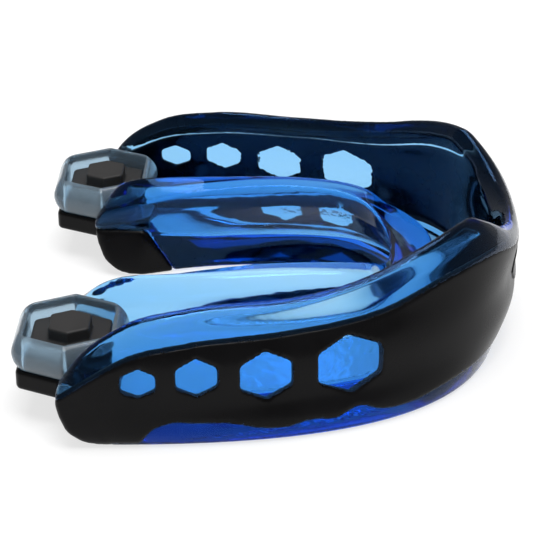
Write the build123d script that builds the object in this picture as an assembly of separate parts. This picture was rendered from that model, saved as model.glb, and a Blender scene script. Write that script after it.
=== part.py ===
from build123d import *
import os

# Boxing mouthguard, tooth channel up. Millimetres, +Z up, front of the mouth at -Y, X across the jaw.
# The guard lies on its bite pads at z = 0 and its box is centred on the origin.

# ---- driving dimensions -------------------------------------------------------------
BODY_BACK = 22.8        # rear end of the two arms
JOINT_Z = 2.4           # bite pad below, gel liner above
CHANNEL_Z = 3.6         # bottom of the tooth channel
FOOT_TOP = 4.6          # top of the frame's rear feet
FLOOR_Z = 6.0           # top of the heel plates
PLATE_T = 2.3           # thickness of a heel plate
FRAME_WALL = 1.2        # outer frame wall
BUCCAL_WALL = 3.7       # frame plus gel beside the channel
HEEL_X = 20.9           # centre of a heel, from the midline
HEEL_Y = 22.1
STUD_BASE = 8.3
STUD_TOP = 9.8
COLLAR_TOP = 9.95

# plan curves, right half: front y, front handle, side handle x, side handle y, half width at the rear
CURVE_END = 25.4
FOOT = (-25.2, 19.8, 33.6, -15.6, 31.2)
LOW = (-25.8, 20.0, 33.8, -15.2, 31.9)
MID = (-27.3, 20.0, 32.0, -13.0, 32.4)
EDGE = (-28.0, 20.5, 29.8, -10.4, 31.8)
CREST = (-27.8, 20.3, 29.2, -9.9, 30.6)
TONGUE = (-13.2, 13.4, 10.8, -4.7, 11.7)

# heights of each plan curve
LEVELS = ((0.0, FOOT), (1.6, LOW), (5.0, MID), (9.0, MID), (13.0, EDGE))
TOP_Z = 20.0

# side profiles as (y, z)
CREST_LINE = ((-34, 18.2), (-25.6, 18.25), (-20.5, 18.4), (-16, 17.3), (-12.5, 16.2), (-8, 15.3), (-2, 14.8),
              (9, 14.6), (15.8, 13.1), (20.6, 9.8), (BODY_BACK, 6.9), (32, 4.8))
FRAME_LINE = ((-34, 11.3), (-28.3, 11.4), (-27.6, 12.1), (-26.7, 13.1), (-25, 14.1), (-22.5, 14.3), (-20, 14.0),
              (-12, 12.6), (-2, 11.9), (9, 11.5), (15.5, 10.3), (20, 7.8), (BODY_BACK, 6.0), (32, 5.4))
WAVE_LINE = ((-34, 2.0), (-25, 2.2), (-19, 2.1), (-15, 1.6), (-12, 1.8), (-9.4, 2.7), (-7, 1.9), (-4.4, 2.1),
             (-1.5, 1.6), (1, 1.8), (4, 2.5), (8, 2.8), (11, 2.8), (12.8, 1.9), (13.9, 0.4), (15, -1.6), (32, -2))
REAR_LINE = ((BODY_BACK + 0.2, 21.0), (BODY_BACK, 6.0), (22.2, 3.4), (21.1, 1.5), (19.2, 0.35), (16.4, -0.3))
LINGUAL_LINE = ((-34, 9.0), (-14, 9.1), (-12.3, 9.7), (-10.2, 10.9), (-7.8, 11.6), (-4.5, 11.9), (2.8, 11.9),
                (6, 11.7), (10.7, 11.2), (14, 10.6), (18, 9.8), (22, 8.8), (32, 7.4))

# side windows on each arm: y, height and width of the hexagon, height of its centre
WINDOWS = ((-8.7, 6.5, 6.9, 7.7), (0.3, 5.4, 5.6, 7.7), (7.7, 4.2, 4.4, 8.1), (13.9, 3.2, 3.7, 7.8))


# ---- helpers ------------------------------------------------------------------------
def shrink(curve, inset):
    """The same plan curve moved inwards by about one wall thickness."""
    front, pull, side_x, side_y, half = curve
    return (front + inset, pull - inset * 0.5, side_x - inset, side_y + inset * 0.45, half - inset)


def arch_face(curve, z, tail=0.0):
    """Horseshoe outline closed straight across the rear, with optional straight tails."""
    front, pull, side_x, side_y, half = curve
    right = Bezier((0, front, z), (pull, front, z), (side_x, side_y, z), (half, CURVE_END, z))
    left = Bezier((0, front, z), (-pull, front, z), (-side_x, side_y, z), (-half, CURVE_END, z))
    if tail > 0:
        end = CURVE_END + tail
        rear = Polyline((half, CURVE_END, z), (half, end, z), (-half, end, z), (-half, CURVE_END, z))
    else:
        rear = Line((half, CURVE_END, z), (-half, CURVE_END, z))
    return make_face([right, rear, left])


def arch_solid(inset):
    """The whole outer volume of the guard, moved inwards by inset."""
    lower = loft([arch_face(shrink(curve, inset), z) for z, curve in LEVELS])
    rim = loft([arch_face(shrink(curve, inset), z) for z, curve in (LEVELS[-1], (TOP_Z, CREST))], ruled=True)
    return lower + rim


def below(line, bottom=-3.0):
    """Everything under a side profile, right across the guard."""
    top = Spline(*[(0, y, z) for y, z in line])
    first = line[0]
    last = line[-1]
    rest = Polyline((0, last[0], last[1]), (0, last[0], bottom), (0, first[0], bottom), (0, first[0], first[1]))
    return extrude(make_face([top, rest]), amount=40, dir=(1, 0, 0), both=True)


def ahead_of_rear():
    """Everything ahead of the rounded rear ends of the arms."""
    curve = Spline(*[(0, y, z) for y, z in REAR_LINE])
    start = REAR_LINE[0]
    end = REAR_LINE[-1]
    rest = Polyline((0, end[0], end[1]), (0, -40, end[1]), (0, -40, start[1]), (0, start[0], start[1]))
    return extrude(make_face([curve, rest]), amount=40, dir=(1, 0, 0), both=True)


def slab(z0, z1, y0=-40.0, y1=40.0):
    """A block over the full width between two heights and two depths."""
    return Pos(0, (y0 + y1) / 2, (z0 + z1) / 2) * Box(90, y1 - y0, z1 - z0)


def both_sides(shape):
    """The shape and its mirror image across the midline."""
    return shape + mirror(shape, about=Plane.YZ)


def heel_outline(scale, z):
    """Hexagon of a heel, pointed towards the cheek and the tongue."""
    corners = ((6.9, 0), (4.2, 5.4), (-4.2, 5.4), (-6.9, 0), (-4.2, -5.4), (4.2, -5.4))
    points = [(HEEL_X + x * scale, HEEL_Y + y * scale) for x, y in corners]
    return Pos(0, 0, z) * make_face(Polyline(*points, close=True))


# ---- shared volumes -----------------------------------------------------------------
def tongue_space(offset=0.0):
    """The open middle of the horseshoe, widened by offset; its walls are hollowed into a shallow cove."""
    levels = ((-0.5, 0.0), (1.8, 0.8), (4.2, 1.45), (6.2, 1.0), (8.8, 0.0), (12.6, -0.45), (20.0, -0.45))
    return loft([arch_face(shrink(TONGUE, -offset - wider), z, 20) for z, wider in levels], ruled=True)


def body_volume():
    """Outer volume without the tongue space and cut off at the rear of the arms."""
    whole = arch_solid(0.0) & ahead_of_rear()
    return whole - tongue_space()


def channel_volume():
    """The tooth channel, from its floor up."""
    outer = loft([
        arch_face(shrink(MID, BUCCAL_WALL + 0.7), CHANNEL_Z),
        arch_face(shrink(MID, BUCCAL_WALL), 8.5),
        arch_face(shrink(EDGE, BUCCAL_WALL - 0.5), 13.0),
        arch_face(shrink(CREST, BUCCAL_WALL - 1.3), 20.0),
    ])
    inner = loft([
        arch_face((-19.0, 16.2, 16.2, -4.0, 15.4), CHANNEL_Z - 0.5, 20),
        arch_face((-18.0, 15.9, 15.6, -4.3, 15.0), 7.0, 20),
        arch_face((-17.2, 15.7, 15.0, -4.4, 14.6), 9.5, 20),
        arch_face((-16.3, 15.4, 14.2, -4.6, 13.8), 11.0, 20),
        arch_face((-15.0, 14.6, 12.8, -4.8, 12.7), 12.5, 20),
    ], ruled=True)
    return outer - inner


def notch_volume():
    """Wide dip at the front midline for the lip band, cut into the rim."""
    half = ((2.5, 13.5), (5, 14.0), (7.5, 15.1), (9.7, 16.5), (12, 17.9), (14.4, 19.2), (17, 20.8))
    corners = [(-x, z) for x, z in reversed(half)] + list(half)
    face = Plane.XZ * make_face(Polyline(*corners, close=True))
    return Pos(0, -20, 0) * extrude(face, amount=12)


def window_prism(index, side):
    """A hexagonal prism across the outer wall, pointing up."""
    y, height, width, middle = WINDOWS[index]
    half_w = width / 2
    half_h = height / 2
    points = [(0, half_h), (half_w, half_h * 0.5), (half_w, -half_h * 0.5)]
    points += [(0, -half_h), (-half_w, -half_h * 0.5), (-half_w, half_h * 0.5)]
    turn = (50, 72, 84, 88)[index]
    plane = Plane(origin=(window_x(y) * side, y, middle), x_dir=(side * cos_deg(turn), sin_deg(turn), 0),
                  z_dir=(side * sin_deg(turn), -cos_deg(turn), 0))
    return extrude(plane * make_face(Polyline(*points, close=True)), amount=3.0, both=True)


def cos_deg(angle):
    return Vector(1, 0, 0).rotate(Axis.Z, angle).X


def sin_deg(angle):
    return Vector(1, 0, 0).rotate(Axis.Z, angle).Y


def window_x(y):
    """Distance of the outer wall from the midline at depth y, at window height."""
    front, pull, side_x, side_y, half = MID
    low = 0.0
    high = 1.0
    for _ in range(40):
        t = (low + high) / 2
        reach = (1 - t) ** 2 * (1 + 2 * t) * front + 3 * (1 - t) * t * t * side_y + t ** 3 * CURVE_END
        low = t if reach < y else low
        high = high if reach < y else t
    return 3 * (1 - t) ** 2 * t * pull + 3 * (1 - t) * t * t * side_x + t ** 3 * half


# ---- named pieces -------------------------------------------------------------------
def heel_plate():
    """Stiff tab behind the arm that carries the stud and the collar."""
    return extrude(heel_outline(1.06, FLOOR_Z - PLATE_T), amount=PLATE_T)


def heel_stud():
    """Stepped hexagonal stud on the heel plate."""
    base = extrude(heel_outline(0.8, FLOOR_Z), amount=STUD_BASE - FLOOR_Z)
    head = extrude(heel_outline(0.42, STUD_BASE), amount=STUD_TOP - STUD_BASE)
    return base + chamfer(head.faces().sort_by(Axis.Z)[-1].edges(), 0.25)


def heel_collar():
    """Clear hexagonal ring around the stud, a little wider at its waist."""
    lower = loft([heel_outline(1.04, FLOOR_Z), heel_outline(1.13, FLOOR_Z + 2.0)])
    upper = loft([heel_outline(1.13, FLOOR_Z + 2.0), heel_outline(0.96, COLLAR_TOP)])
    pocket = loft([heel_outline(0.84, FLOOR_Z - 0.5), heel_outline(0.885, COLLAR_TOP + 0.5)])
    return lower + upper - pocket


def heel_block(body):
    """Rear foot of the stiff frame, wrapped round the end of an arm."""
    return body & slab(-1, FOOT_TOP, 17.6, 40)


def outer_frame(body, shell, windows, plates):
    """Stiff outer wall with its windows, wavy lower edge and the two rear feet."""
    wall = shell & below(FRAME_LINE)
    wall = wall - below(WAVE_LINE)
    wall = wall - windows - notch_volume()
    foot = heel_block(body) - plates
    return wall + foot


def bite_pad(body, frame, plates):
    """Lower gel layer that the guard stands on."""
    return (body & slab(-1, JOINT_Z)) - frame - plates


def gel_liner(body, frame, windows, plates, heel_room):
    """Upper gel layer: outer wall with its rim, channel floor and tongue-side wall."""
    gel = body & slab(JOINT_Z, 20) & below(CREST_LINE)
    inside = tongue_space(5.2) & slab(-1, 20)
    high_inside = inside - below(LINGUAL_LINE)
    gel = gel - channel_volume() - high_inside - notch_volume()
    return gel - frame - windows - plates - heel_room


def front_panel():
    """Slightly raised shield on the front of the frame."""
    outer = arch_solid(-0.3) - arch_solid(0.0)
    corners = ((-6.6, 8.7), (-4.6, 6.8), (4.6, 6.8), (6.6, 8.7), (4.9, 10.6), (-4.9, 10.6))
    window = Plane.XZ * make_face(Polyline(*corners, close=True))
    return outer & (Pos(0, -16, 0) * extrude(window, amount=20))


# ---- build and export ---------------------------------------------------------------
os.makedirs("parts", exist_ok=True)

body = body_volume()
plate_right = heel_plate()
plate_left = mirror(plate_right, about=Plane.YZ)
collar_right = heel_collar()
stud_right = heel_stud()
shell = body - arch_solid(FRAME_WALL)
window_cut = window_prism(0, 1)
for i in range(4):
    window_cut = window_cut + window_prism(i, 1) + window_prism(i, -1)

plates = plate_right + plate_left
frame = outer_frame(body, shell, window_cut, plates)
pad = bite_pad(body, frame, plates)
heel_room = both_sides(extrude(heel_outline(1.17, FLOOR_Z), amount=6))
liner = gel_liner(body, frame, window_cut & shell, plates, heel_room)

pieces = {
    "outer_frame": frame,
    "gel_liner": liner,
    "bite_pad": pad,
    "front_panel": front_panel(),
    "heel_plate_right": plate_right,
    "heel_plate_left": plate_left,
    "heel_stud_right": stud_right,
    "heel_stud_left": mirror(stud_right, about=Plane.YZ),
    "heel_collar_right": collar_right,
    "heel_collar_left": mirror(collar_right, about=Plane.YZ),
}
for i in range(4):
    pieces["window_gel_right_%d" % (i + 1)] = shell & window_prism(i, 1)
    pieces["window_gel_left_%d" % (i + 1)] = shell & window_prism(i, -1)

for name, shape in pieces.items():
    export_step(shape, "parts/%s.step" % name)
    box = shape.bounding_box()
    print("%-20s volume %8.1f solids %d valid %s" % (name, shape.volume, len(shape.solids()), shape.is_valid),
          [round(v, 2) for v in (box.min.X, box.max.X, box.min.Y, box.max.Y, box.min.Z, box.max.Z)])
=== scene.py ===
import math

import bpy
import numpy as np
from mathutils import Matrix, Vector


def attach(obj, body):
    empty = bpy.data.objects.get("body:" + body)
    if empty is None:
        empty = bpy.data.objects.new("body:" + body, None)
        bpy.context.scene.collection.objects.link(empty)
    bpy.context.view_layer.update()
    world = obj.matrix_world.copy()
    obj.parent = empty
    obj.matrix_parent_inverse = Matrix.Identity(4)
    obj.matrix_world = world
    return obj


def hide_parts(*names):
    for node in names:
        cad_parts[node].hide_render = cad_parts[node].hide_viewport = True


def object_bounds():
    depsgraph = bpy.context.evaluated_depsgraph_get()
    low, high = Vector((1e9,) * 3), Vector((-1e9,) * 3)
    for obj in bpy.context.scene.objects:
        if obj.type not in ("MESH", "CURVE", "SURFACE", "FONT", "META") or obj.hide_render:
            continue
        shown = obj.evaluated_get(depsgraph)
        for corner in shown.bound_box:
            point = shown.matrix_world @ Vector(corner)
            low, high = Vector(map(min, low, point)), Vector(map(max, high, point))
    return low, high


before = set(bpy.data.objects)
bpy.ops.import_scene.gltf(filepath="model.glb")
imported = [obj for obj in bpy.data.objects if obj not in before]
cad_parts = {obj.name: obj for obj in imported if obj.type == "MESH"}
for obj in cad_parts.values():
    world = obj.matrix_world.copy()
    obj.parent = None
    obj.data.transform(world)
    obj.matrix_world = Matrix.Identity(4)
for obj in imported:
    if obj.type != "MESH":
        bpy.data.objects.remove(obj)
cad_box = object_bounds()

MM = 0.001
GUARD_STEP = 0.28    # grid spacing of each part's field, mm
PANEL_STEP = 0.16
HEEL_STEP = 0.15

# ---------------------------------------------------------------- shape of the guard, mm
# plan curves, right half: front y, front handle, side handle x, side handle y, half width
CURVE_END = 25.4
FOOT = (-25.2, 19.8, 33.6, -15.6, 31.2)
LOW = (-25.8, 20.0, 33.8, -15.2, 31.9)
MID = (-27.3, 20.0, 32.0, -13.0, 32.4)
EDGE = (-28.0, 20.5, 29.8, -10.4, 31.8)
CREST = (-27.8, 20.3, 29.2, -9.9, 30.6)
TONGUE = (-13.2, 13.4, 10.8, -4.7, 11.7)
# plan curves by height: the outside, and the tooth channel's cheek side (with its inset) and tongue side
OUTER_LEVELS = ((0.0, FOOT), (1.6, LOW), (5.0, MID), (9.0, MID), (13.0, EDGE), (20.0, CREST))
CHANNEL_CHEEK = ((3.2, MID, 4.4), (8.5, MID, 3.7), (13.0, EDGE, 3.6), (20.0, CREST, 4.2))
CHANNEL_INNER = ((1.6, (-19.0, 16.2, 16.2, -4.0, 15.4)), (7.5, (-18.2, 15.9, 15.7, -4.3, 15.1)),
                 (10.2, (-17.6, 15.7, 15.2, -4.4, 14.8)), (11.4, (-16.8, 15.5, 14.4, -4.6, 14.0)),
                 (12.6, (-15.4, 14.8, 12.9, -4.8, 12.7)))
FLOOR_Z = 6.0
CHANNEL_Z = 3.6
BED_RISE = 0.5          # how much higher the channel's floor is at the cheek side
FRAME_WALL = 1.2
PLATE_T = 2.3
HEEL = (20.9, 22.1)
HEEL_REACH = 6.9        # from a heel's centre to its points
HEEL_HALF = 5.4         # from a heel's centre to its flats
HEEL_SIDE = 6.04        # length of a heel's slanted side
FOOT_TOP = 5.7          # top of the black rear feet
HEEL_UNDER = 4.4        # the feet and gel are cut away above this under a heel
STUD_BASE = 8.3
STUD_TOP = 9.8
COLLAR_TOP = 9.95

# side profiles, (y, z); the dip is (x, z)
CREST_LINE = ((-34, 18.3), (-25.6, 18.35), (-20.5, 18.5), (-16, 17.4), (-12.5, 16.3), (-8, 15.4), (-2, 14.9),
              (9, 14.7), (15.8, 13.2), (20.6, 9.8), (22.8, 6.9), (32, 4.8))
CREST_DIP = ((0, 13.3), (2.5, 13.5), (5, 14.1), (7.5, 15.1), (9.7, 16.6), (12, 18.1), (14.4, 19.5), (17, 21.0),
             (40, 24))
DIP_BACK = -16.0
FRAME_LINE = ((-34, 11.3), (-28.3, 11.4), (-27.6, 12.1), (-26.7, 13.2), (-25, 14.4), (-22.5, 14.8), (-20, 14.6),
              (-12, 12.6), (-2, 11.9), (9, 11.5), (15.5, 10.3), (20, 7.8), (22.8, 6.0), (32, 5.4))
WAVE_LINE = ((-34, 2.0), (-25, 2.2), (-19, 2.1), (-15, 1.6), (-12, 1.8), (-9.4, 2.7), (-7, 1.9), (-4.4, 2.1),
             (-1.5, 1.6), (1.0, 1.8), (4, 2.5), (8, 2.8), (11, 2.8), (12.8, 1.9), (13.9, 0.4), (15, -1.6), (32, -2))
LINGUAL_LINE = ((-34, 8.8), (-14, 8.9), (-12.6, 9.3), (-10.7, 10.6), (-7.8, 11.5), (-5, 11.85), (-0.8, 12.0),
                (2.8, 11.85), (6, 11.5), (10.7, 10.85), (14, 10.25), (18, 9.2), (22, 8.2), (32, 5.0))
LINGUAL_TILT = ((-34, 0.35), (8, 0.35), (13, 0.6), (17, 0.9), (22, 0.6), (32, 0.3))
CREASE_LINE = ((-34, 7.0), (-13.2, 7.2), (-11, 7.9), (-8.5, 8.7), (-4, 9.1), (0, 9.0), (7.4, 8.5), (12.3, 7.9),
               (16, 7.1), (19.6, 6.1), (32, 4.5))
# how deep the tongue-side cove is by depth below the crease, and its share along the arm
COVE_DROP = (0, 1.5, 3.0, 4.3, 5.5, 6.5, 7.5, 9.5)
COVE_DEPTH = (0, 0.6, 1.12, 1.4, 1.4, 1.1, 0.5, -0.8)
COVE_LINE = ((-34, 1.0), (1, 1.0), (5, 0.8), (9, 0.5), (13, 0.25), (16, 0.0), (32, 0.0))
FLARE_LINE = ((-34, 0.0), (14, 0.0), (17, 0.12), (20, 0.16), (32, 0.16))
# rear end of the arms, (z, y)
REAR_LINE = ((-0.4, 16.0), (0.35, 19.2), (1.5, 21.1), (3.4, 22.2), (6.0, 22.8), (21.0, 23.0))

# how far the rim leans in from the frame's edge to its crest, by y
TILT_Y = (-25, -20, -14, -8, -3)
TILT = (1.9, 2.3, 2.5, 2.0, 1.7)
TILT_BASE = 1.7
# depth of the channel's mouth below the crest, by y
MOUTH_Y = (-22, -12)
MOUTH_DEPTH = (1.4, 1.2)
# the rippled band on the channel's cheek side: its top, its middle y and its half length
RIPPLE_TOP = 10.6
RIPPLE_Y = -1.0
RIPPLE_HALF = 11.0

# the feet's front edge at the resting plane, its slope, and its shift across an arm
FOOT_FRONT = 15.6
FOOT_SLOPE = 0.62
FOOT_SHIFT_X = (12.0, 14.5, 17.0, 22.0)
FOOT_SHIFT = (-2.6, -0.4, 0.0, 1.2)

# scales of the heel's hexagon: hole in the gel, plate, hole in the feet, stud, and pocket at its ends
HOLE_SCALE, PLATE_SCALE, FOOT_SCALE = 1.11, 1.06, 1.05
BASE_SCALE, HEAD_SCALE = 0.8, 0.42
POCKET_SCALE = (0.84, 0.885)
# scale of the collar's outside by height
COLLAR_LINE = ((5.5, 1.02), (6.0, 1.04), (7.0, 1.11), (8.0, 1.13), (9.0, 1.07), (9.95, 0.96), (10.6, 0.85))

# front panel: how far it stands out, its lowest and highest edge, and half its width
PANEL_RAISE = 0.17
PANEL_Z = (6.8, 10.6)
PANEL_HALF = 6.6

# side windows: y, height, width, centre height, turn of the wall in degrees
WINDOWS = ((-8.7, 6.5, 6.9, 7.7, 50), (0.3, 5.4, 5.6, 7.7, 72), (7.7, 4.2, 4.4, 8.1, 84), (13.9, 3.2, 3.7, 7.8, 88))


# ---------------------------------------------------------------- distance fields
def plan_curve(curve, count=240):
    """Points of the right half of a plan curve, with a straight tail to the rear."""
    front, pull, side_x, side_y, half = curve
    t = np.linspace(0, 1, count)
    x = 3 * (1 - t) ** 2 * t * pull + 3 * (1 - t) * t * t * side_x + t ** 3 * half
    y = (1 - t) ** 3 * front + 3 * (1 - t) ** 2 * t * front + 3 * (1 - t) * t * t * side_y + t ** 3 * CURVE_END
    slope = (x[-1] - x[-2]) / (y[-1] - y[-2])
    tail = np.linspace(y[-1] + 1.0, y[-1] + 20.0, 12)
    return np.concatenate([x, x[-1] + slope * (tail - y[-1])]), np.concatenate([y, tail])


def shrink(curve, inset):
    """The same plan curve moved inwards by about one wall thickness."""
    front, pull, side_x, side_y, half = curve
    return (front + inset, pull - inset * 0.5, side_x - inset, side_y + inset * 0.45, half - inset)


def plan_distance(curve, xs, ys):
    """Signed distance in plan to a curve, negative inside the horseshoe, for x from 0 up."""
    cx, cy = plan_curve(curve)
    gx, gy = np.meshgrid(xs, ys, indexing="ij")
    best = np.full(gx.shape, 1e9, np.float32)
    for x0, y0, x1, y1 in zip(cx[:-1], cy[:-1], cx[1:], cy[1:]):
        dx, dy = x1 - x0, y1 - y0
        k = np.clip(((gx - x0) * dx + (gy - y0) * dy) / (dx * dx + dy * dy), 0, 1)
        best = np.minimum(best, (gx - x0 - k * dx) ** 2 + (gy - y0 - k * dy) ** 2)
    inside = (gy > cy[0]) & (gx < np.interp(gy, cy, cx))
    return (np.sqrt(best) * np.where(inside, -1.0, 1.0)).astype(np.float32)


def smooth_curve(points, at):
    """Smooth curve through (x, y) points: cubic pieces with averaged slopes."""
    p = np.array(points, float)
    x, y = p[:, 0], p[:, 1]
    slope = np.diff(y) / np.diff(x)
    m = np.concatenate([[slope[0]], (slope[:-1] * np.diff(x)[1:] + slope[1:] * np.diff(x)[:-1]) / (x[2:] - x[:-2]),
                        [slope[-1]]])
    a = np.clip(at, x[0], x[-1])
    i = np.clip(np.searchsorted(x, a) - 1, 0, len(x) - 2)
    h = x[i + 1] - x[i]
    t = (a - x[i]) / h
    return ((2 * t ** 3 - 3 * t ** 2 + 1) * y[i] + (t ** 3 - 2 * t ** 2 + t) * h * m[i]
            + (3 * t ** 2 - 2 * t ** 3) * y[i + 1] + (t ** 3 - t ** 2) * h * m[i + 1])


def stack(levels, xs, ys, zs):
    """Distance field of plan curves that change smoothly with height."""
    heights = [z for z, _ in levels]
    total = None
    for k, (_, curve) in enumerate(levels):
        unit = [(z, 1.0 if j == k else 0.0) for j, z in enumerate(heights)]
        weight = smooth_curve(unit, zs).astype(np.float32)
        part = plan_distance(curve, xs, ys)[:, :, None] * weight[None, None, :]
        total = part if total is None else total + part
    return total


def both(a, b, r):
    """Intersection of two fields with a rounded edge of radius r."""
    u = np.maximum(a + r, 0)
    v = np.maximum(b + r, 0)
    return np.minimum(-r, np.maximum(a, b)) + np.sqrt(u * u + v * v)


def either(a, b, r):
    """Union of two fields with a fillet of radius r."""
    return -both(-a, -b, r)


def minus(a, b, r):
    """Field a with b cut away, the cut's edge rounded."""
    return both(a, -b, r)


def hexagon(u, v, half_u, half_v, r):
    """Field of a hexagon with its points along v."""
    rise = half_v / (2 * half_u)
    scale = 1 / math.sqrt(1 + rise * rise)
    return both(np.abs(u) - half_u, (np.abs(v) + rise * np.abs(u) - half_v) * scale, r)


def heel_hexagon(x, y, scale, r):
    """Field of the heel's hexagon, its points towards the cheek and the tongue."""
    u = np.abs(x - HEEL[0])
    v = np.abs(y - HEEL[1])
    side = (u - HEEL_REACH * scale) * (HEEL_HALF / HEEL_SIDE) + v * (HEEL_HALF / 2 / HEEL_SIDE)
    return both(v - HEEL_HALF * scale, side, r)


# ---------------------------------------------------------------- field to mesh
def surface(field, xs, ys, zs):
    """Closed quad mesh of the field's zero surface (surface nets, then pulled onto the surface)."""
    step = xs[1] - xs[0]
    inside = field < 0
    n = [s - 1 for s in field.shape]
    some = np.zeros(n, bool)
    every = np.ones(n, bool)
    corners = [(i, j, k) for i in (0, 1) for j in (0, 1) for k in (0, 1)]
    for i, j, k in corners:
        c = inside[i:i + n[0], j:j + n[1], k:k + n[2]]
        some |= c
        every &= c
    cells = np.argwhere(some & ~every)
    values = np.stack([field[cells[:, 0] + i, cells[:, 1] + j, cells[:, 2] + k] for i, j, k in corners], 1)
    spot = np.zeros((len(cells), 3))
    hits = np.zeros(len(cells))
    for a, ca in enumerate(corners):
        for b, cb in enumerate(corners):
            if b <= a or sum(abs(p - q) for p, q in zip(ca, cb)) != 1:
                continue
            va, vb = values[:, a], values[:, b]
            cross = (va < 0) != (vb < 0)
            t = np.where(cross, va / np.where(cross, va - vb, 1), 0)
            point = np.array(ca)[None] + t[:, None] * (np.array(cb) - np.array(ca))[None]
            spot += point * cross[:, None]
            hits += cross
    place = cells + spot / hits[:, None]
    number = np.full(n, -1, np.int64)
    number[cells[:, 0], cells[:, 1], cells[:, 2]] = np.arange(len(cells))

    quads = []
    for axis in range(3):
        u, v = [a for a in range(3) if a != axis]
        head = [slice(None)] * 3
        tail = [slice(None)] * 3
        head[axis] = slice(0, -1)
        tail[axis] = slice(1, None)
        first, second = inside[tuple(head)], inside[tuple(tail)]
        edge = np.argwhere(first != second)
        edge = edge[(edge[:, u] > 0) & (edge[:, v] > 0) & (edge[:, u] < n[u]) & (edge[:, v] < n[v])]
        outward = first[edge[:, 0], edge[:, 1], edge[:, 2]]
        ring = []
        for du, dv in ((0, 0), (1, 0), (1, 1), (0, 1)):
            cell = edge.copy()
            cell[:, u] -= du
            cell[:, v] -= dv
            ring.append(number[cell[:, 0], cell[:, 1], cell[:, 2]])
        quad = np.stack(ring, 1)
        flip = outward if axis == 1 else ~outward
        quad[flip] = quad[flip][:, ::-1]
        quads.append(quad)
    quads = np.concatenate(quads)

    for _ in range(3):
        value, slope = sample(field, place)
        push = value / np.maximum((slope ** 2).sum(1), 0.3)
        place -= np.clip(push[:, None] * slope, -0.4, 0.4)
    origin = np.array([xs[0], ys[0], zs[0]])
    return (origin + place * step) * MM, quads


def sample(field, place):
    """Field value and its slope per cell, by linear blending between grid points."""
    top = np.array(field.shape) - 2
    base = np.clip(np.floor(place).astype(int), 0, top)
    f = place - base
    value = np.zeros(len(place))
    slope = np.zeros((len(place), 3))
    for i in (0, 1):
        for j in (0, 1):
            for k in (0, 1):
                v = field[base[:, 0] + i, base[:, 1] + j, base[:, 2] + k]
                wx, wy, wz = [(f[:, a] if o else 1 - f[:, a]) for a, o in enumerate((i, j, k))]
                value += v * wx * wy * wz
                slope[:, 0] += v * (2 * i - 1) * wy * wz
                slope[:, 1] += v * (2 * j - 1) * wx * wz
                slope[:, 2] += v * (2 * k - 1) * wx * wy
    return value, slope


def piece(name, verts, faces, material, slot, nodes, ripple=None):
    """Mesh object that stands for CAD nodes and rides on the part's one body."""
    verts = np.clip(verts, *[np.array(corner, float) for corner in cad_box])
    mesh = bpy.data.meshes.new(name)
    mesh.vertices.add(len(verts))
    mesh.vertices.foreach_set("co", np.ascontiguousarray(verts, np.float32).ravel())
    mesh.loops.add(faces.size)
    mesh.loops.foreach_set("vertex_index", np.ascontiguousarray(faces, np.int32).ravel())
    mesh.polygons.add(len(faces))
    mesh.polygons.foreach_set("loop_start", np.arange(0, faces.size, 4, dtype=np.int32))
    mesh.update(calc_edges=True)
    mesh.validate()
    mesh.polygons.foreach_set("use_smooth", np.ones(len(mesh.polygons), bool))
    if ripple is not None:
        mesh.attributes.new("ripple", "FLOAT", "POINT").data.foreach_set("value", ripple.astype(np.float32))
    mesh.materials.append(material)
    obj = bpy.data.objects.new(name, mesh)
    bpy.context.collection.objects.link(obj)
    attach(obj, "root")
    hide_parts(*nodes)


def axis_points(low, high, step):
    """Evenly spaced grid coordinates."""
    return low + step * np.arange(int(round((high - low) / step)) + 1)


def mirrored(half):
    """Full field from the half with x above 0."""
    return np.concatenate([half[::-1], half], 0)


# ---------------------------------------------------------------- materials
GEL_IOR = 1.5


def material(name):
    """New node material, its nodes and links, and its shader."""
    mat = bpy.data.materials.new(name)
    mat.use_nodes = True
    nodes = mat.node_tree.nodes
    return mat, nodes, mat.node_tree.links, nodes["Principled BSDF"]


def noise(nodes, links, coords, scale, detail, rough=0.55):
    """Noise of a given scale over the piece."""
    tex = nodes.new("ShaderNodeTexNoise")
    tex.inputs["Scale"].default_value = scale
    tex.inputs["Detail"].default_value = detail
    tex.inputs["Roughness"].default_value = rough
    links.new(coords, tex.inputs["Vector"])
    return tex.outputs["Fac"]


def spread(nodes, links, source, low, high):
    """The middle of a noise's range, stretched to run from low to high."""
    out = nodes.new("ShaderNodeMapRange")
    out.inputs["From Min"].default_value = 0.3
    out.inputs["From Max"].default_value = 0.7
    out.inputs["To Min"].default_value = low
    out.inputs["To Max"].default_value = high
    links.new(source, out.inputs["Value"])
    return out.outputs["Result"]


def bump(nodes, links, bsdf, height, distance, strength):
    """Bump on a shader's normal."""
    node = nodes.new("ShaderNodeBump")
    node.inputs["Distance"].default_value = distance
    node.inputs["Strength"].default_value = strength
    links.new(height, node.inputs["Height"])
    links.new(node.outputs["Normal"], bsdf.inputs["Normal"])
    return node


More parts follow.
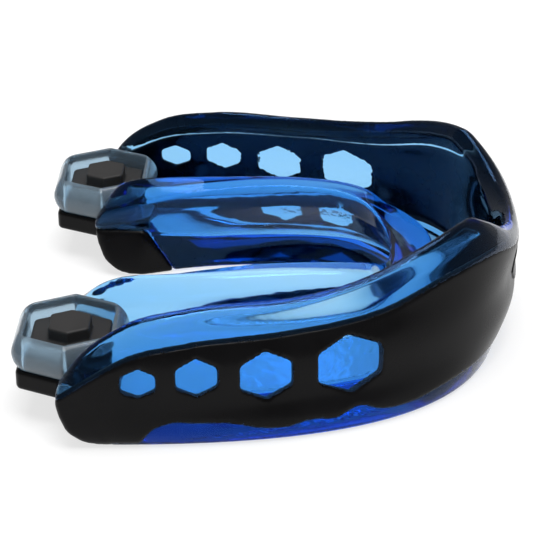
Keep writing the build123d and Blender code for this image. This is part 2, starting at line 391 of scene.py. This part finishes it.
def gel(name, absorb_colour, density, rough_low, rough_high):
    """Clear coloured gel: light is absorbed with depth, and the skin is slightly uneven.

    Where the mesh carries a ripple attribute, the skin also has a fine ripple."""
    mat, nodes, links, bsdf = material(name)
    bsdf.inputs["Base Color"].default_value = (1, 1, 1, 1)
    bsdf.inputs["Transmission Weight"].default_value = 1.0
    bsdf.inputs["IOR"].default_value = GEL_IOR
    bsdf.inputs["Specular IOR Level"].default_value = 0.22
    coords = nodes.new("ShaderNodeTexCoord").outputs["Object"]
    skin = noise(nodes, links, coords, 420.0, 5.0)
    links.new(spread(nodes, links, skin, rough_low, rough_high), bsdf.inputs["Roughness"])
    waves = noise(nodes, links, coords, 130.0, 2.0, 0.4)
    skin_bump = bump(nodes, links, bsdf, waves, 0.00012, 0.5)
    ripple = nodes.new("ShaderNodeAttribute")
    ripple.attribute_name = "ripple"
    fine = nodes.new("ShaderNodeBump")
    fine.inputs["Distance"].default_value = 0.00018
    links.new(ripple.outputs["Fac"], fine.inputs["Strength"])
    links.new(noise(nodes, links, coords, 1300.0, 1.0, 0.4), fine.inputs["Height"])
    links.new(fine.outputs["Normal"], skin_bump.inputs["Normal"])
    absorb = nodes.new("ShaderNodeVolumeAbsorption")
    absorb.inputs["Color"].default_value = (*absorb_colour, 1)
    absorb.inputs["Density"].default_value = density
    out = [n for n in nodes if n.type == "OUTPUT_MATERIAL"][0]
    links.new(absorb.outputs["Volume"], out.inputs["Volume"])
    return mat, bsdf


def elastomer(name, dark, light, rough_low, rough_high, specular, grain):
    """Black moulded elastomer: fine grain, a faint cloud of colour and uneven sheen."""
    mat, nodes, links, bsdf = material(name)
    coords = nodes.new("ShaderNodeTexCoord").outputs["Object"]
    cloud = noise(nodes, links, coords, 160.0, 5.0)
    fine = noise(nodes, links, coords, 5200.0, 3.0, 0.6)
    tint = nodes.new("ShaderNodeMix")
    tint.data_type = "RGBA"
    links.new(spread(nodes, links, cloud, 0.0, 1.0), tint.inputs["Factor"])
    # colour sockets of the mix node: A, B and the result
    tint.inputs[6].default_value = (*dark, 1)
    tint.inputs[7].default_value = (*light, 1)
    links.new(tint.outputs[2], bsdf.inputs["Base Color"])
    links.new(spread(nodes, links, cloud, rough_low, rough_high), bsdf.inputs["Roughness"])
    bsdf.inputs["Specular IOR Level"].default_value = specular
    bump(nodes, links, bsdf, fine, grain, 0.6)
    return mat


GEL, gel_shader = gel("gel_blue", (0.0, 0.59, 0.932), 365.0, 0.03, 0.1)
gel_shader.inputs["Specular Tint"].default_value = (0.15, 0.4, 0.9, 1)
COLLAR, collar_shader = gel("gel_clear", (0.1, 0.45, 0.62), 160.0, 0.12, 0.25)
collar_shader.inputs["Transmission Weight"].default_value = 0.88
collar_shader.inputs["Base Color"].default_value = (0.56, 0.71, 0.83, 1)
BLACK = elastomer("frame_elastomer", (0.0012, 0.0011, 0.0014), (0.003, 0.0028, 0.0034), 0.22, 0.34, 0.12,
                  0.000004)
STUD = elastomer("stud_elastomer", (0.014, 0.013, 0.0135), (0.024, 0.023, 0.023), 0.45, 0.6, 0.3, 0.00002)


# ---------------------------------------------------------------- guard body and frame
def along(line, at):
    """A side profile as a field over y."""
    return smooth_curve(line, at)[None, :, None]


def tongue_field(xs, ys, z):
    """Tongue side: a cove below the crease, and above it a face that overhangs slightly."""
    inner = plan_distance(TONGUE, xs, ys)[:, :, None]
    above = z - along(CREASE_LINE, ys)
    drop = np.maximum(-above, 0.0)
    cove = along(COVE_LINE, ys) * np.interp(drop, COVE_DROP, COVE_DEPTH) - along(FLARE_LINE, ys) * drop
    return inner, inner - cove + 0.24 * np.maximum(above, 0.0)


def crest_field(xs, ys, y):
    """Height of the rim, which dips towards the midline at the front."""
    crest = along(CREST_LINE, ys)
    dip = smooth_curve(CREST_DIP, xs)[:, None, None]
    return np.where(y < DIP_BACK, -both(-crest, -dip, 0.8), crest + 0 * dip)


def channel_fields(xs, ys, zs, crest, spread_in):
    """Cheek side of the tooth channel, and the whole channel."""
    z = zs[None, None, :]
    cheek = stack([(height, shrink(curve, inset)) for height, curve, inset in CHANNEL_CHEEK], xs, ys, zs) + spread_in
    # the mouth of the channel opens out below the crest
    flare = z - crest + np.interp(ys, MOUTH_Y, MOUTH_DEPTH)[None, :, None]
    cheek = cheek - 0.5 * (flare + np.sqrt(flare * flare + 0.5))
    # the floor rises towards the cheek side
    bed = CHANNEL_Z + BED_RISE * np.exp(np.minimum(cheek, 0.0) / 2.6)
    sides = both(cheek, -stack(CHANNEL_INNER, xs, ys, zs), 0.3)
    return cheek, both(sides, (bed - z) * 0.85, 0.9)


def foot_field(body, x, y, z):
    """Black rear foot of an arm, with a slanted front edge."""
    shift = np.interp(x, FOOT_SHIFT_X, FOOT_SHIFT)
    front = (FOOT_FRONT + FOOT_SLOPE * np.maximum(z, 0.0) + shift - y) * 0.8
    return both(both(body, z - FOOT_TOP, 0.4), front, 0.5)


def cut_windows(wall, x, y, z):
    """The hexagonal openings of the frame, each square to the wall at its place."""
    mid_x, mid_y = plan_curve(MID)
    for wy, height, width, wz, turn in WINDOWS:
        wx = np.interp(wy, mid_y, mid_x)
        turn = math.radians(turn)
        level = (x - wx) * math.cos(turn) + (y - wy) * math.sin(turn)
        across = (x - wx) * math.sin(turn) - (y - wy) * math.cos(turn)
        opening = hexagon(level, z - wz, width / 2, height / 2, 0.35)
        wall = minus(wall, np.maximum(opening, np.abs(across) - 4.0), 0.18)
    return wall


def build_guard(step):
    """Fields of the gel and the frame, and of the rippled cheek side of the channel."""
    xs = step * (np.arange(int(34.0 / step)) + 0.5)
    ys = axis_points(-30.0, 25.0, step)
    zs = axis_points(-0.8, 20.0, step)
    x, y, z = xs[:, None, None], ys[None, :, None], zs[None, None, :]

    outer = stack(OUTER_LEVELS, xs, ys, zs)
    edge = along(FRAME_LINE, ys)
    rear = (y - smooth_curve(REAR_LINE, zs)[None, None, :]) * 0.9
    inner, tongue = tongue_field(xs, ys, z)
    crest = crest_field(xs, ys, y)
    body = both(both(both(outer, -z, 0.9), -tongue, 0.6), rear, 0.6)

    # rim of the gel: leans in from the frame's edge to the crest
    share = np.clip((z - edge) / np.maximum(crest - edge, 0.5), 0, 1.3)
    tilt = np.interp(ys, TILT_Y, TILT)[None, :, None]
    cheek, channel = channel_fields(xs, ys, zs, crest, (tilt - TILT_BASE) * share)
    lingual = along(LINGUAL_LINE, ys) + along(LINGUAL_TILT, ys) * np.clip(inner + 0.3, 0.0, 2.5)
    above_lingual = both(plan_distance(shrink(TONGUE, -5.2), xs, ys)[:, :, None], (lingual - z) * 0.9, 0.4)

    soft = both(both(outer + tilt * share, -z, 0.5), -tongue, 0.6)
    soft = both(soft, rear, 0.6) + 0.08
    soft = both(soft, (z - crest) * 0.92, 0.7)
    soft = minus(minus(soft, channel, 0.4), above_lingual, 0.35)

    # heel plates and collars pass through the gel
    foot = foot_field(body, x, y, z)
    soft = minus(soft, both(heel_hexagon(x, y, HOLE_SCALE, 0.4), HEEL_UNDER - z, 0.1), 0.25)
    soft = minus(soft, foot - 0.05, 0.05)

    wall = both(body, -(outer + FRAME_WALL), 0.3)
    wall = both(wall, (z - edge) * 0.95, 0.35)
    wall = cut_windows(both(wall, (along(WAVE_LINE, ys) - z) * 0.85, 0.3), x, y, z)
    foot = minus(foot, both(heel_hexagon(x, y, FOOT_SCALE, 0.4), HEEL_UNDER - z, 0.1), 0.1)
    black = either(wall, foot, 0.2)

    # ripple: close to the channel's cheek side, below the rim, away from the front and the heels
    rippled = np.maximum(np.maximum(np.abs(cheek) - 0.5, z - RIPPLE_TOP), np.abs(y - RIPPLE_Y) - RIPPLE_HALF)
    full = np.concatenate([-xs[::-1], xs])
    return (mirrored(soft), full, ys, zs), (mirrored(black), full, ys, zs), mirrored(rippled)


def ripple_share(verts, rippled, xs, ys, zs):
    """1 on the cheek side of the tooth channel, 0 elsewhere."""
    place = (verts / MM - np.array([xs[0], ys[0], zs[0]])) / (xs[1] - xs[0])
    return np.clip(-sample(rippled, place)[0] * 2.0, 0.0, 1.0)


gel_field, frame_field, ripple_field = build_guard(GUARD_STEP)
windows = ["window_gel_%s_%d" % (side, i) for side in ("left", "right") for i in range(1, 5)]
verts, faces = surface(*gel_field)
piece("gel_body", verts, faces, GEL, "gel_blue", ["gel_liner", "bite_pad"] + windows,
      ripple_share(verts, ripple_field, *gel_field[1:]))
piece("frame_shell", *surface(*frame_field), BLACK, "frame_black", ["outer_frame"])


# ---------------------------------------------------------------- front panel
def build_panel(step):
    """Thin raised panel at the middle of the front."""
    xs = step * (np.arange(int(13.0 / step)) + 0.5)
    ys = axis_points(-29.6, -23.5, step)
    zs = axis_points(5.8, 12.2, step)
    x, z = xs[:, None, None], zs[None, None, :]
    outer = stack(OUTER_LEVELS, xs, ys, zs)
    low, high = PANEL_Z
    skin = both(outer - PANEL_RAISE, -outer - 0.5, 0.3)
    side = (np.abs(z - (low + high) / 2) * 0.9 + x - PANEL_HALF) * 0.74
    shape = both(both(z - high, low - z, 0.5), side, 0.8)
    return mirrored(both(skin, shape, 0.3)), np.concatenate([-xs[::-1], xs]), ys, zs


piece("front_shield", *surface(*build_panel(PANEL_STEP)), BLACK, "frame_black", ["front_panel"])


# ---------------------------------------------------------------- heels
def layer(z, low, high):
    """Field of a flat layer between two heights."""
    return np.abs(z - (low + high) / 2) - (high - low) / 2


def build_heel(step):
    """Fields of a heel's plate, collar and stud."""
    xs = axis_points(12.2, 29.6, step)
    ys = axis_points(15.0, 29.4, step)
    zs = axis_points(3.2, 10.6, step)
    x, y, z = xs[:, None, None], ys[None, :, None], zs[None, None, :]

    plate = both(heel_hexagon(x, y, PLATE_SCALE, 0.5), layer(z, FLOOR_Z - PLATE_T, FLOOR_Z), 0.45)

    # barrel-shaped collar round a hexagonal pocket
    swell = smooth_curve(COLLAR_LINE, zs)[None, None, :]
    outside = heel_hexagon(x, y, swell, 1.1)
    widen = np.interp(zs, (FLOOR_Z, COLLAR_TOP), POCKET_SCALE)[None, None, :]
    pocket = heel_hexagon(x, y, widen, 0.3)
    collar = minus(both(outside, layer(z, FLOOR_Z, COLLAR_TOP), 0.35), pocket, 0.15)

    base = both(heel_hexagon(x, y, BASE_SCALE, 0.35), layer(z, FLOOR_Z, STUD_BASE), 0.15)
    head = both(heel_hexagon(x, y, HEAD_SCALE, 0.25), layer(z, FLOOR_Z, STUD_TOP), 0.18)
    return (plate, xs, ys, zs), (collar, xs, ys, zs), (either(base, head, 0.12), xs, ys, zs)


plate_field, collar_field, stud_field = build_heel(HEEL_STEP)
for label, field, mat, slot in (("heel_plate", plate_field, BLACK, "frame_black"),
                                ("heel_collar", collar_field, COLLAR, "collar_clear"),
                                ("heel_stud", stud_field, STUD, "stud_black")):
    verts, faces = surface(*field)
    piece(label + "_soft_right", verts, faces, mat, slot, [label + "_right"])
    piece(label + "_soft_left", verts * np.array([-1, 1, 1]), faces[:, ::-1], mat, slot, [label + "_left"])


# ---------------------------------------------------------------- floor, light, camera
FLOOR_HALF = 3.0
floor_mesh = bpy.data.meshes.new("floor")
corners = [(x * FLOOR_HALF, y * FLOOR_HALF, 0) for x, y in ((-1, -1), (1, -1), (1, 1), (-1, 1))]
floor_mesh.from_pydata(corners, [], [(0, 1, 2, 3)])
floor = bpy.data.objects.new("floor", floor_mesh)
bpy.context.collection.objects.link(floor)
floor.location.z = -0.05 * MM
paper, _, _, paper_shader = material("paper")
paper_shader.inputs["Base Color"].default_value = (0.32, 0.32, 0.32, 1)
paper_shader.inputs["Emission Color"].default_value = (1, 1, 1, 1)
paper_shader.inputs["Emission Strength"].default_value = 0.71
paper_shader.inputs["Roughness"].default_value = 0.9
paper_shader.inputs["Specular IOR Level"].default_value = 0.1
floor_mesh.materials.append(paper)

world = bpy.data.worlds.new("studio")
bpy.context.scene.world = world
world.use_nodes = True
sky = world.node_tree.nodes["Background"]
sky.inputs["Color"].default_value = (1, 1, 1, 1)
sky.inputs["Strength"].default_value = 0.35


def softbox(name, place, width, height, power):
    """Rectangular area light aimed at the guard."""
    aim = Vector((0, 0, 0.01))
    light = bpy.data.lights.new(name, "AREA")
    light.shape = "RECTANGLE"
    light.size = width
    light.size_y = height
    light.energy = power
    obj = bpy.data.objects.new(name, light)
    bpy.context.collection.objects.link(obj)
    obj.location = place
    obj.rotation_euler = (aim - Vector(place)).to_track_quat("-Z", "Y").to_euler()


softbox("top_box", (0.05, 0.0, 0.6), 0.4, 0.4, 2.5)
softbox("side_box", (-0.22, -0.1, 0.58), 0.3, 0.1, 1.4)

# camera: looks along +X and down through a long lens; angles in radians, distance in metres
IMAGE_PX = 533.0
SENSOR_MM = 36.0
AZ, EL, ROLL, DIST, FOCAL_PX = 0.031, 0.439, -0.013, 0.2934, 2520.2
AIM = Vector((0.0, -0.002, 0.0085))
SHIFT_PX = (29.2, -16.5)
forward = Vector((math.cos(AZ) * math.cos(EL), math.sin(AZ) * math.cos(EL), -math.sin(EL)))
right = forward.cross(Vector((0, 0, 1))).normalized()
up = right.cross(forward)
right, up = (right * math.cos(ROLL) + up * math.sin(ROLL), up * math.cos(ROLL) - right * math.sin(ROLL))
eye = AIM - forward * DIST
view = (forward - right * (SHIFT_PX[0] / FOCAL_PX) + up * (SHIFT_PX[1] / FOCAL_PX)).normalized()
side = (right - view * right.dot(view)).normalized()
top = side.cross(view)
camera_data = bpy.data.cameras.new("camera")
camera_data.sensor_width = SENSOR_MM
camera_data.lens = FOCAL_PX / IMAGE_PX * SENSOR_MM
camera_data.clip_start = 0.01
camera = bpy.data.objects.new("camera", camera_data)
camera.matrix_world = Matrix(((side.x, top.x, -view.x, eye.x), (side.y, top.y, -view.y, eye.y),
                              (side.z, top.z, -view.z, eye.z), (0, 0, 0, 1)))
bpy.context.collection.objects.link(camera)
bpy.context.scene.camera = camera
bpy.context.scene.view_settings.view_transform = "Standard"
bpy.context.scene.cycles.max_bounces = 24
bpy.context.scene.cycles.transmission_bounces = 20
